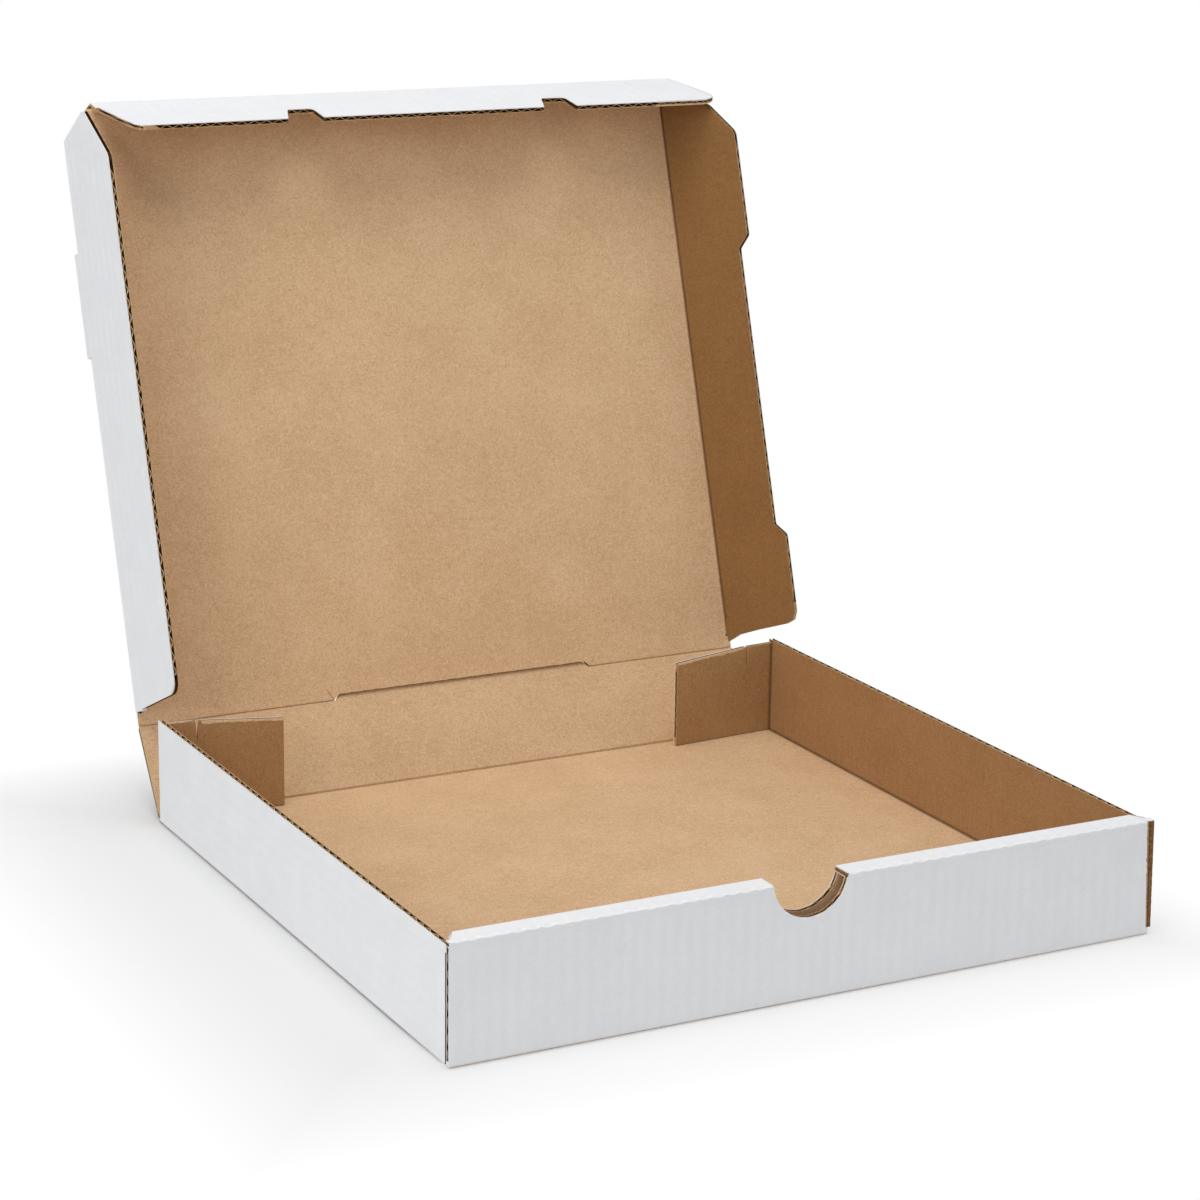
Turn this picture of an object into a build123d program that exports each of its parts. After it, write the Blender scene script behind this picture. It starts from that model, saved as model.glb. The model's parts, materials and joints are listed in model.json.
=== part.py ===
from build123d import *
from math import hypot, radians, tan
import os

# Folded pizza box of corrugated board, standing open on its floor.
# Origin at the centre of the floor's underside, front towards -Y, up along +Z.

# Board: two liners with a fluted core between them, the flutes running from front to back of the blank
BOARD = 2.5
LINER = 0.4
FLUTE_PITCH = 6.3
FLUTE_WALL = 0.6
FLUTE_DEPTH = 8.0
CHANNEL_DEPTH = 3.0
FOLD_GAP = 0.3
FOLD_RADIUS = 1.6

# Tray
TRAY_WIDTH = 330.0
TRAY_DEPTH = 320.0
SIDE_HEIGHT = 50.0
FRONT_HEIGHT = 52.0
ROLL_THICKNESS = 10.0
ROLL_BEVEL = 3.5
CORNER_GAP = 0.4

# Thumb notch in the front wall
NOTCH_RADIUS = 17.5
NOTCH_X = -5.0
NOTCH_RAISE = 1.5

# Locking tabs of the inner front panel and their floor slots
LOCK_WIDTH = 40.0
LOCK_X = 95.0
LOCK_CLEARANCE = 0.4

# Front corner flaps, trapped in the rolled front wall
TRAPPED_LENGTH = 48.0
TRAPPED_HEIGHT = 44.0

# Rear corner flaps
CORNER_LENGTH = 57.0
CORNER_LEFT_TURN = 5.8
CORNER_RIGHT_TURN = 4.4
CORNER_HEIGHT = 48.5
CORNER_DROP = 3.0
CORNER_SLIT_AT = 15.5
CORNER_SLIT_DEPTH = 11.0
CORNER_SLIT_WIDTH = 1.8
RELIEF_WIDTH = 10.5
RELIEF_BOTTOM = 15.0

# Rear wall
REAR_HEIGHT = 49.0
REAR_LEAN = 45.0
REAR_TAB_LEFT = -61.0
REAR_TAB_RIGHT = 78.0
REAR_TAB_RISE = 3.5
REAR_TAB_SLANT = 3.0

# Lid, narrower and shorter than the tray so that it tucks inside
LID_LEAN = 17.5
LID_INSET = 3.5
LID_SHORTFALL = 22.5
LID_CHAMFER_X = 15.0
LID_CHAMFER_Y = 18.0
LID_RIGHT_CHAMFER = 4.0

# Side flaps of the lid, measured along the fold and down from it
FLAP_DEPTH = 44.5
FLAP_START = 7.0
FLAP_HEEL = 14.0
FLAP_SHOULDER = 24.0
FLAP_ROUND = 7.0
POINT_ROUND = 3.0
LEFT_TURN = 7.0
LEFT_END = 17.5
LEFT_POINT = 7.5
LEFT_SLOPE = 25.0
RIGHT_TURN = 27.0
RIGHT_TUCK = -3.0
RIGHT_END = 10.0
RIGHT_POINT = 19.0
RIGHT_SHOULDER = 30.0
RIGHT_SLOPE = 17.0
RIGHT_WAIST = 6.0
WAIST_START = 60.0
WAIST_END = 202.0
WAIST_SLANT = 6.0
WAIST_ROUND = 2.5

# Vent tab of the left flap
VENT_START = 176.0
VENT_END = 226.0
VENT_RISE = 4.0

# Front flap of the lid
FRONT_TURN = 27.0
FRONT_DEPTH = 40.0
FRONT_SHOULDER = 24.0
FRONT_ROUND = 6.0
FRONT_LEFT_TAPER = 5.5
FRONT_LEFT_CORNER = 25.0
FRONT_RIGHT_REACH = 0.5
FRONT_RIGHT_CORNER = 5.0
FRONT_NOTCH_DEPTH = 15.0
FRONT_NOTCH_WIDTH = 18.5
FRONT_NOTCH_SLANT = 5.5
FRONT_NOTCH_ROUND = 3.0
FIRST_NOTCH_X = -51.5
SECOND_NOTCH_X = 85.5

# Directions and hinge lines
half_width = TRAY_WIDTH / 2
half_depth = TRAY_DEPTH / 2
inner_width = half_width - BOARD
lid_half = half_width - LID_INSET
lid_length = TRAY_DEPTH - LID_SHORTFALL
across = Vector(1, 0, 0)
upright = Vector(0, 0, 1)
wall_up = upright.rotate(Axis.X, -REAR_LEAN)
wall_in = Vector(0, -1, 0).rotate(Axis.X, -REAR_LEAN)
lid_up = upright.rotate(Axis.X, -LID_LEAN)
lid_in = Vector(0, -1, 0).rotate(Axis.X, -LID_LEAN)
floor_crease = Vector(0, half_depth, 0)
lid_crease = floor_crease + wall_up * REAR_HEIGHT + wall_in * BOARD
lid_axis = Axis((0, 0, 0), lid_up)

# Working planes, each with its thickness along local Z
wall_plane = Plane(origin=floor_crease, x_dir=across, z_dir=wall_in)
lid_plane = Plane(origin=lid_crease, x_dir=across, z_dir=lid_in)
left_depth = lid_in.rotate(lid_axis, LEFT_TURN)
right_depth = lid_in.rotate(lid_axis, RIGHT_TURN)
front_depth = lid_in.rotate(Axis.X, FRONT_TURN)
lid_outer = lid_crease - lid_in * BOARD
left_corner = lid_outer - across * lid_half
right_corner = lid_outer + across * lid_half
front_corner = lid_outer + lid_up * lid_length
left_plane = Plane(origin=left_corner, x_dir=lid_up, z_dir=lid_up.cross(left_depth))
right_plane = Plane(origin=right_corner, x_dir=lid_up, z_dir=lid_up.cross(right_depth))
front_plane = Plane(origin=front_corner, x_dir=across, z_dir=across.cross(front_depth))

# Derived places
core = BOARD - 2 * LINER
side_end = half_depth - BOARD - CORNER_GAP
panel_back = -half_depth + ROLL_THICKNESS
panel_half = inner_width - ROLL_BEVEL
panel_base = BOARD + CORNER_GAP
notch_bottom = FRONT_HEIGHT + NOTCH_RAISE - NOTCH_RADIUS
corner_edge = CORNER_HEIGHT - CORNER_DROP
slit_near = CORNER_SLIT_AT - CORNER_SLIT_WIDTH / 2
slit_far = CORNER_SLIT_AT + CORNER_SLIT_WIDTH / 2
fold_edge = lid_half - FOLD_GAP
front_edge = lid_length - FOLD_GAP
waist_depth = FLAP_DEPTH - RIGHT_WAIST
front_left = -lid_half + FRONT_LEFT_CORNER
front_right = lid_half - FRONT_RIGHT_CORNER

# Half of the angle through which each crease closes
square_half = 90 / 2
left_half = (90 + LEFT_TURN) / 2
right_half = (90 - RIGHT_TUCK) / 2
front_half = (90 + FRONT_TURN) / 2


def mitre(plane, half_fold, length, side):
    # Bevels the inner side of a creased edge, so that the fold can close to twice half_fold.
    reach = FOLD_GAP + BOARD * tan(radians(half_fold))
    with BuildSketch(plane) as wedge:
        Polygon((FOLD_GAP, 0), (reach, side * BOARD), (FOLD_GAP, side * BOARD), align=None)
    extrude(wedge.sketch, amount=length, mode=Mode.SUBTRACT)


def flute_ends(plane, span, depth):
    # Opens the flutes at an edge that crosses them: triangles that stand on either liner in turn.
    count = int(span / FLUTE_PITCH)
    half = (FLUTE_PITCH - FLUTE_WALL) / 2
    tip = core * (1 - FLUTE_WALL / FLUTE_PITCH)
    far_liner = BOARD - LINER
    with BuildSketch(plane) as ends:
        with GridLocations(FLUTE_PITCH, BOARD, count, 1):
            Polygon((-half, LINER), (half, LINER), (0, LINER + tip), align=None)
        with GridLocations(FLUTE_PITCH, BOARD, count - 1, 1):
            Polygon((-half, far_liner), (0, far_liner - tip), (half, far_liner), align=None)
    extrude(ends.sketch, amount=-depth, mode=Mode.SUBTRACT)


def flute_channel(plane, outline, side):
    # Opens the one flute that lies along a flap's free edge, between the two liners.
    with BuildSketch(plane.offset(side * LINER)) as channel:
        add(outline)
        with Locations((0, -CHANNEL_DEPTH)):
            add(outline, mode=Mode.SUBTRACT)
    extrude(channel.sketch, amount=side * core, mode=Mode.SUBTRACT)


# Tray: floor, side walls, rolled front wall and corner flaps
with BuildPart() as tray:
    with Locations((0, -FOLD_GAP / 2, 0)):
        Box(TRAY_WIDTH, TRAY_DEPTH - FOLD_GAP, BOARD, align=(Align.CENTER, Align.CENTER, Align.MIN))
    floor_edge = Plane(origin=(half_width, half_depth, 0), x_dir=(0, -1, 0), z_dir=(-1, 0, 0))
    mitre(floor_edge, square_half, TRAY_WIDTH, 1)

    # Side walls
    with Locations((half_width - BOARD / 2, 0, 0), (-half_width + BOARD / 2, 0, 0)):
        Box(BOARD, 2 * side_end, SIDE_HEIGHT, align=(Align.CENTER, Align.CENTER, Align.MIN))

    # Outer face of the front wall
    with Locations((0, -half_depth + BOARD / 2, 0)):
        Box(TRAY_WIDTH, BOARD, FRONT_HEIGHT, align=(Align.CENTER, Align.CENTER, Align.MIN))

    # Top strip of the front wall, narrowing between the side walls
    with BuildSketch(Plane.XY.offset(FRONT_HEIGHT - BOARD)):
        with BuildLine():
            Polyline(
                (-half_width, -half_depth),
                (half_width, -half_depth),
                (half_width, -half_depth + BOARD),
                (panel_half, panel_back),
                (-panel_half, panel_back),
                (-half_width, -half_depth + BOARD),
                close=True,
            )
        make_face()
    extrude(amount=BOARD)

    # Floor slots
    with Locations((LOCK_X, panel_back - BOARD / 2, 0), (-LOCK_X, panel_back - BOARD / 2, 0)):
        Box(
            LOCK_WIDTH + 2 * LOCK_CLEARANCE,
            BOARD + 2 * LOCK_CLEARANCE,
            2 * BOARD,
            align=(Align.CENTER, Align.CENTER, Align.CENTER),
            mode=Mode.SUBTRACT,
        )

    # Inner front panel and its locking tabs
    with BuildSketch(Plane(origin=(0, panel_back, 0), x_dir=across, z_dir=(0, -1, 0))):
        with Locations((0, panel_base)):
            Rectangle(2 * panel_half, FRONT_HEIGHT - panel_base, align=(Align.CENTER, Align.MIN))
        with Locations((LOCK_X, CORNER_GAP), (-LOCK_X, CORNER_GAP)):
            Rectangle(LOCK_WIDTH, panel_base, align=(Align.CENTER, Align.MIN))
    extrude(amount=BOARD)

    # Front corner flaps, trapped between the two faces of the front wall
    for side in (-1, 1):
        with Locations((side * (inner_width - TRAPPED_LENGTH / 2), -side_end + BOARD / 2, panel_base)):
            Box(TRAPPED_LENGTH, BOARD, TRAPPED_HEIGHT, align=(Align.CENTER, Align.CENTER, Align.MIN))

    # Right rear corner flap, with a slit in its top edge
    right_run = (-across).rotate(Axis.Z, CORNER_RIGHT_TURN)
    right_root = Vector(inner_width, side_end, 0)
    with BuildSketch(Plane(origin=right_root, x_dir=right_run, z_dir=right_run.cross(upright))):
        with BuildLine():
            Polyline(
                (-BOARD / 2, panel_base),
                (CORNER_LENGTH, panel_base),
                (CORNER_LENGTH, corner_edge),
                (slit_far, CORNER_HEIGHT),
                (CORNER_SLIT_AT, CORNER_HEIGHT - CORNER_SLIT_DEPTH),
                (slit_near, CORNER_HEIGHT),
                (-BOARD / 2, CORNER_HEIGHT),
                close=True,
            )
        make_face()
    extrude(amount=-BOARD)

    # Left rear corner flap, with a relief beside the wall for the lid's left flap
    left_run = across.rotate(Axis.Z, -CORNER_LEFT_TURN)
    left_root = Vector(-inner_width, side_end, 0)
    with BuildSketch(Plane(origin=left_root, x_dir=left_run, z_dir=left_run.cross(upright))):
        with BuildLine():
            Polyline(
                (-BOARD / 2, panel_base),
                (CORNER_LENGTH, panel_base),
                (CORNER_LENGTH, corner_edge),
                (slit_far, CORNER_HEIGHT),
                (CORNER_SLIT_AT, CORNER_HEIGHT - CORNER_SLIT_DEPTH),
                (slit_near, CORNER_HEIGHT),
                (RELIEF_WIDTH, CORNER_HEIGHT),
                (RELIEF_WIDTH, RELIEF_BOTTOM),
                (-BOARD / 2, RELIEF_BOTTOM),
                close=True,
            )
        make_face()
    extrude(amount=BOARD)

    # Rounded outer folds along the bottom of the side walls and along the front wall
    side_folds = tray.edges().filter_by(Axis.Y).filter_by_position(Axis.Z, 0, 0).sort_by(Axis.X)
    front_folds = tray.edges().filter_by(Axis.X).filter_by_position(Axis.Y, -half_depth, -half_depth)
    fillet([side_folds[0], side_folds[-1]] + list(front_folds), radius=FOLD_RADIUS)

    # Thumb notch through the strip and both faces
    notch_centre = Location((NOTCH_X, -half_depth + ROLL_THICKNESS / 2, FRONT_HEIGHT + NOTCH_RAISE), (90, 0, 0))
    with Locations(notch_centre):
        Cylinder(NOTCH_RADIUS, 2 * ROLL_THICKNESS, mode=Mode.SUBTRACT)

    # Flutes that the notch cuts open in both faces
    strip_base = FRONT_HEIGHT - BOARD
    notch_flutes = strip_base - notch_bottom + FLUTE_DEPTH
    for face in (-half_depth, panel_back - BOARD):
        flute_ends(Plane(origin=(NOTCH_X, face, strip_base), x_dir=across), 2 * NOTCH_RADIUS, notch_flutes)

    # Flutes at the free ends of the rear corner flaps
    flap_middle = upright * ((panel_base + corner_edge) / 2)
    right_tip = right_root + right_run * CORNER_LENGTH + flap_middle
    flute_ends(Plane(origin=right_tip, x_dir=-upright, z_dir=right_run), corner_edge - panel_base, FLUTE_DEPTH)
    left_tip = left_root + left_run * CORNER_LENGTH + flap_middle
    flute_ends(Plane(origin=left_tip, x_dir=upright, z_dir=left_run), corner_edge - panel_base, FLUTE_DEPTH)

    # Open flutes along the tops of the side walls and the ends of the front wall
    with Locations((half_width - BOARD / 2, 0, SIDE_HEIGHT), (-half_width + BOARD / 2, 0, SIDE_HEIGHT)):
        Box(core, 2 * side_end, 2 * CHANNEL_DEPTH, mode=Mode.SUBTRACT)
    with Locations((half_width, -half_depth + BOARD / 2, panel_base), (-half_width, -half_depth + BOARD / 2, panel_base)):
        Box(
            2 * CHANNEL_DEPTH,
            core,
            strip_base - panel_base,
            align=(Align.CENTER, Align.CENTER, Align.MIN),
            mode=Mode.SUBTRACT,
        )
tray.part.label = "tray"

# Rear wall, leaning back, with a low tab that stands past the lid crease
with BuildPart() as rear_wall:
    with BuildSketch(wall_plane):
        with BuildLine():
            Polyline(
                (-half_width + CORNER_GAP, FOLD_GAP),
                (half_width - CORNER_GAP, FOLD_GAP),
                (lid_half, REAR_HEIGHT - FOLD_GAP),
                (REAR_TAB_RIGHT, REAR_HEIGHT - FOLD_GAP),
                (REAR_TAB_RIGHT - REAR_TAB_SLANT, REAR_HEIGHT + REAR_TAB_RISE),
                (REAR_TAB_LEFT + REAR_TAB_SLANT, REAR_HEIGHT + REAR_TAB_RISE),
                (REAR_TAB_LEFT, REAR_HEIGHT - FOLD_GAP),
                (-lid_half, REAR_HEIGHT - FOLD_GAP),
                close=True,
            )
        make_face()
    extrude(amount=BOARD)
    wall_foot = Plane(origin=floor_crease - across * half_width, x_dir=wall_up, z_dir=across)
    mitre(wall_foot, square_half, TRAY_WIDTH, 1)
rear_wall.part.label = "rear_wall"

# Lid panel, with cut-outs for the rear wall's tab and the left flap's vent tab
with BuildPart() as lid_panel:
    tab_clear = REAR_TAB_RISE + FOLD_GAP
    vent_clear = hypot(VENT_RISE, BOARD) + FOLD_GAP
    with BuildSketch(lid_plane):
        with BuildLine():
            Polyline(
                (-fold_edge, FOLD_GAP),
                (REAR_TAB_LEFT - FOLD_GAP, FOLD_GAP),
                (REAR_TAB_LEFT + REAR_TAB_SLANT - FOLD_GAP, tab_clear),
                (REAR_TAB_RIGHT - REAR_TAB_SLANT + FOLD_GAP, tab_clear),
                (REAR_TAB_RIGHT + FOLD_GAP, FOLD_GAP),
                (fold_edge, FOLD_GAP),
                (fold_edge, lid_length - LID_RIGHT_CHAMFER),
                (lid_half - LID_RIGHT_CHAMFER, front_edge),
                (-lid_half + LID_CHAMFER_X, front_edge),
                (-fold_edge, lid_length - LID_CHAMFER_Y),
                (-fold_edge, VENT_END + FOLD_GAP),
                (-lid_half + vent_clear, VENT_END + FOLD_GAP),
                (-lid_half + vent_clear, VENT_START - FOLD_GAP),
                (-fold_edge, VENT_START - FOLD_GAP),
                close=True,
            )
        make_face()
    extrude(amount=-BOARD)
    left_fold = Plane(origin=left_corner + lid_up * lid_length, x_dir=across, z_dir=-lid_up)
    mitre(left_fold, left_half, lid_length, 1)
    right_fold = Plane(origin=right_corner, x_dir=-across, z_dir=lid_up)
    mitre(right_fold, right_half, lid_length, 1)
    front_fold = Plane(origin=front_corner + across * lid_half, x_dir=-lid_up, z_dir=-across)
    mitre(front_fold, front_half, 2 * lid_half, 1)
lid_panel.part.label = "lid_panel"

# Outline of the left lid flap: straight free edge, pointed front end, vent tab standing past the fold
with BuildSketch() as left_outline:
    with BuildLine():
        Polyline(
            (FLAP_START, FOLD_GAP),
            (VENT_START, FOLD_GAP),
            (VENT_START, -VENT_RISE),
            (VENT_END, -VENT_RISE),
            (VENT_END, FOLD_GAP),
            (lid_length - LEFT_END, FOLD_GAP),
            (lid_length - LEFT_POINT, FLAP_SHOULDER),
            (lid_length - LEFT_POINT - LEFT_SLOPE, FLAP_DEPTH),
            (FLAP_HEEL, FLAP_DEPTH),
            close=True,
        )
    make_face()
    fillet(left_outline.vertices().filter_by_position(Axis.Y, FLAP_DEPTH, FLAP_DEPTH), radius=FLAP_ROUND)
    fillet(left_outline.vertices().filter_by_position(Axis.Y, FLAP_SHOULDER, FLAP_SHOULDER), radius=POINT_ROUND)

# Left lid flap
with BuildPart() as lid_left_flap:
    with BuildSketch(left_plane):
        add(left_outline.sketch)
    extrude(amount=BOARD)
    mitre(Plane(origin=left_corner, x_dir=left_depth, z_dir=lid_up), left_half, VENT_START, 1)
    past_vent = left_corner + lid_up * VENT_END
    mitre(Plane(origin=past_vent, x_dir=left_depth, z_dir=lid_up), left_half, lid_length - VENT_END, 1)
    flute_channel(left_plane, left_outline.sketch, 1)
lid_left_flap.part.label = "lid_left_flap"

# Outline of the right lid flap: a deeper tab at each end
with BuildSketch() as right_outline:
    with BuildLine():
        Polyline(
            (FLAP_START, FOLD_GAP),
            (lid_length - RIGHT_END, FOLD_GAP),
            (lid_length - RIGHT_POINT, RIGHT_SHOULDER),
            (lid_length - RIGHT_POINT - RIGHT_SLOPE, FLAP_DEPTH),
            (WAIST_END + WAIST_SLANT, FLAP_DEPTH),
            (WAIST_END, waist_depth),
            (WAIST_START, waist_depth),
            (WAIST_START - WAIST_SLANT, FLAP_DEPTH),
            (FLAP_HEEL, FLAP_DEPTH),
            close=True,
        )
    make_face()
    right_corners = right_outline.vertices().filter_by_position(Axis.Y, RIGHT_SHOULDER, FLAP_DEPTH)
    waist_corners = right_corners.filter_by_position(Axis.X, WAIST_START - WAIST_SLANT, WAIST_END + WAIST_SLANT)
    fillet(waist_corners, radius=WAIST_ROUND)
    end_corners = right_outline.vertices().sort_by_distance((FLAP_HEEL, FLAP_DEPTH))[0:1]
    end_corners += right_outline.vertices().sort_by_distance((lid_length - RIGHT_POINT, RIGHT_SHOULDER))[0:1]
    slope_end = (lid_length - RIGHT_POINT - RIGHT_SLOPE, FLAP_DEPTH)
    end_corners += right_outline.vertices().sort_by_distance(slope_end)[0:1]
    fillet(end_corners, radius=FLAP_ROUND)

# Right lid flap
with BuildPart() as lid_right_flap:
    with BuildSketch(right_plane):
        add(right_outline.sketch)
    extrude(amount=-BOARD)
    mitre(Plane(origin=right_corner, x_dir=right_depth, z_dir=lid_up), right_half, lid_length, -1)
    flute_channel(right_plane, right_outline.sketch, -1)
lid_right_flap.part.label = "lid_right_flap"

# Front lid flap: tapered left end, two notches in the free edge
with BuildPart() as lid_front_flap:
    notch_half = FRONT_NOTCH_WIDTH / 2
    with BuildSketch(front_plane) as front_outline:
        with BuildLine():
            Polyline(
                (-lid_half + LID_CHAMFER_X, FOLD_GAP),
                (lid_half - LID_RIGHT_CHAMFER, FOLD_GAP),
                (lid_half - FRONT_RIGHT_REACH, FRONT_SHOULDER),
                (front_right, FRONT_DEPTH),
                (front_left, FRONT_DEPTH),
                (-lid_half + LID_CHAMFER_X + FRONT_LEFT_TAPER, FRONT_SHOULDER),
                close=True,
            )
        make_face()
        fillet(front_outline.vertices().filter_by_position(Axis.Y, FRONT_SHOULDER, FRONT_DEPTH), radius=FRONT_ROUND)
        with Locations((FIRST_NOTCH_X, FRONT_DEPTH), (SECOND_NOTCH_X, FRONT_DEPTH)):
            Polygon(
                (-notch_half, 0),
                (notch_half, 0),
                (notch_half, -FRONT_NOTCH_DEPTH),
                (-notch_half + FRONT_NOTCH_SLANT, -FRONT_NOTCH_DEPTH),
                align=None,
                mode=Mode.SUBTRACT,
            )
        notch_floor = FRONT_DEPTH - FRONT_NOTCH_DEPTH
        fillet(front_outline.vertices().filter_by_position(Axis.Y, notch_floor, notch_floor), radius=FRONT_NOTCH_ROUND)
    extrude(amount=BOARD)
    mitre(Plane(origin=front_corner - across * lid_half, x_dir=front_depth, z_dir=across), front_half, 2 * lid_half, 1)

    # Flutes at the free edge and at the floors of the notches
    free_edge = front_corner + front_depth * FRONT_DEPTH + across * ((front_left + front_right) / 2)
    free_span = front_right - front_left - 2 * FRONT_ROUND
    flute_ends(Plane(origin=free_edge, x_dir=-across, z_dir=front_depth), free_span, FRONT_NOTCH_DEPTH + FLUTE_DEPTH)
lid_front_flap.part.label = "lid_front_flap"

os.makedirs("parts", exist_ok=True)
export_step(tray.part, "parts/tray.step")
export_step(rear_wall.part, "parts/rear_wall.step")
export_step(lid_panel.part, "parts/lid_panel.step")
export_step(lid_left_flap.part, "parts/lid_left_flap.step")
export_step(lid_right_flap.part, "parts/lid_right_flap.step")
export_step(lid_front_flap.part, "parts/lid_front_flap.step")
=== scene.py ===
# %% [markdown]
# A pizza box, folded from one sheet of corrugated board
#
# The box stands open. Its board is white outside and brown kraft paper inside, with a wavy core
# that shows wherever the board is cut. The imported model gives the panels at their real size, and
# the joints give the creases about which they turn. Here each panel gets its paper, each crease
# gets a fold strip laid over it, and the whole is lit as in a white studio.

import json
import math

import bpy
from mathutils import Matrix, Vector, noise


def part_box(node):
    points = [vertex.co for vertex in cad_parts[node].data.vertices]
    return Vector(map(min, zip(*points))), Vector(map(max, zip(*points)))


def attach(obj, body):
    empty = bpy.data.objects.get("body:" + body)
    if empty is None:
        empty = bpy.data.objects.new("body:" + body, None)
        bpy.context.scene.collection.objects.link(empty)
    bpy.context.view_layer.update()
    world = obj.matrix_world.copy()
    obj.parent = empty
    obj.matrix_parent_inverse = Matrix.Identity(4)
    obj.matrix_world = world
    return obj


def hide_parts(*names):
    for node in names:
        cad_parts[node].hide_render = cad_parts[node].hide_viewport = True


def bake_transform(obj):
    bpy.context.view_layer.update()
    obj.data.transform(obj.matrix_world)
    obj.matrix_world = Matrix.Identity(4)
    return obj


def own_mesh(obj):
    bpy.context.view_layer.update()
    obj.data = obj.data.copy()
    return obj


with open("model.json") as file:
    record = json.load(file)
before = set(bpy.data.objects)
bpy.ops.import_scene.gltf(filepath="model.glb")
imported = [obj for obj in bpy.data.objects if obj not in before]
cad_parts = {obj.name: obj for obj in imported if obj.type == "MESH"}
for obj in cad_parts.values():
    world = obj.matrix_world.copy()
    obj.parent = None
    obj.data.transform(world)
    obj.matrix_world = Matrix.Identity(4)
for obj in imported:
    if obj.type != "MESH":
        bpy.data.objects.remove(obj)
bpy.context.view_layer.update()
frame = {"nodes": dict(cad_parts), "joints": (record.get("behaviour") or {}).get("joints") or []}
nodes = frame["nodes"]
joints = {joint["name"]: joint for joint in frame["joints"]}
print("nodes:", sorted(nodes))

# %% [markdown]
# The camera
#
# The photograph was taken with a long lens from the left, a little above the box. The eye, the
# turn and the lens were found by fitting the box's own corners to the picture, so the camera is
# set up from those few numbers instead of by eye.

# %% Camera
MM = 0.001
CAMERA_EYE = Vector((-649.9, -1195.4, 497.7)) * MM
CAMERA_AZIMUTH = math.radians(-27.86)
CAMERA_ELEVATION = math.radians(15.22)
CAMERA_ROLL = math.radians(0.83)
CAMERA_LENS = 96.77
SENSOR_WIDTH = 36.0
FAR_LIMIT = 20.0


def add_camera():
    right = Vector((math.cos(CAMERA_AZIMUTH), math.sin(CAMERA_AZIMUTH), 0))
    back = Vector((right.y, -right.x, math.tan(CAMERA_ELEVATION))).normalized()
    turn = Matrix((right, back.cross(right), back)).transposed() @ Matrix.Rotation(CAMERA_ROLL, 3, "Z")
    data = bpy.data.cameras.new("camera")
    data.lens = CAMERA_LENS
    data.sensor_width = SENSOR_WIDTH
    data.clip_end = FAR_LIMIT
    camera = bpy.data.objects.new("camera", data)
    camera.matrix_world = Matrix.Translation(CAMERA_EYE) @ turn.to_4x4()
    bpy.context.scene.collection.objects.link(camera)
    bpy.context.scene.camera = camera
    return camera


print("camera at", add_camera().matrix_world.translation)

# %% [markdown]
# Shader maths as plain arithmetic
#
# A finish is a graph of nodes, and most of its nodes only add and multiply. Wrapping a socket in a
# small class lets the sums be written as Python, and one method adds every other kind of node.


# %% Shader helpers
class Wire:
    """A socket of a graph that can be added, subtracted and multiplied."""

    def __init__(self, graph, socket):
        self.graph = graph
        self.socket = socket

    def maths(self, operation, first, second):
        return self.graph.node("ShaderNodeMath", {"operation": operation}, {0: first, 1: second})

    def __add__(self, other):
        return self.maths("ADD", self, other)

    def __radd__(self, other):
        return self.maths("ADD", other, self)

    def __sub__(self, other):
        return self.maths("SUBTRACT", self, other)

    def __rsub__(self, other):
        return self.maths("SUBTRACT", other, self)

    def __mul__(self, other):
        return self.maths("MULTIPLY", self, other)

    def __rmul__(self, other):
        return self.maths("MULTIPLY", other, self)


class Graph:
    """A node tree, of a material or of the world."""

    def __init__(self, tree):
        self.tree = tree

    def node(self, kind, settings=None, inputs=None, out=0):
        node = self.tree.nodes.new(kind)
        for key, value in (settings or {}).items():
            setattr(node, key, value)
        for key, value in (inputs or {}).items():
            self.feed(node.inputs[key], value)
        return Wire(self, node.outputs[out])

    def feed(self, socket, value):
        if isinstance(value, Wire):
            self.tree.links.new(value.socket, socket)
        else:
            socket.default_value = value


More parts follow.
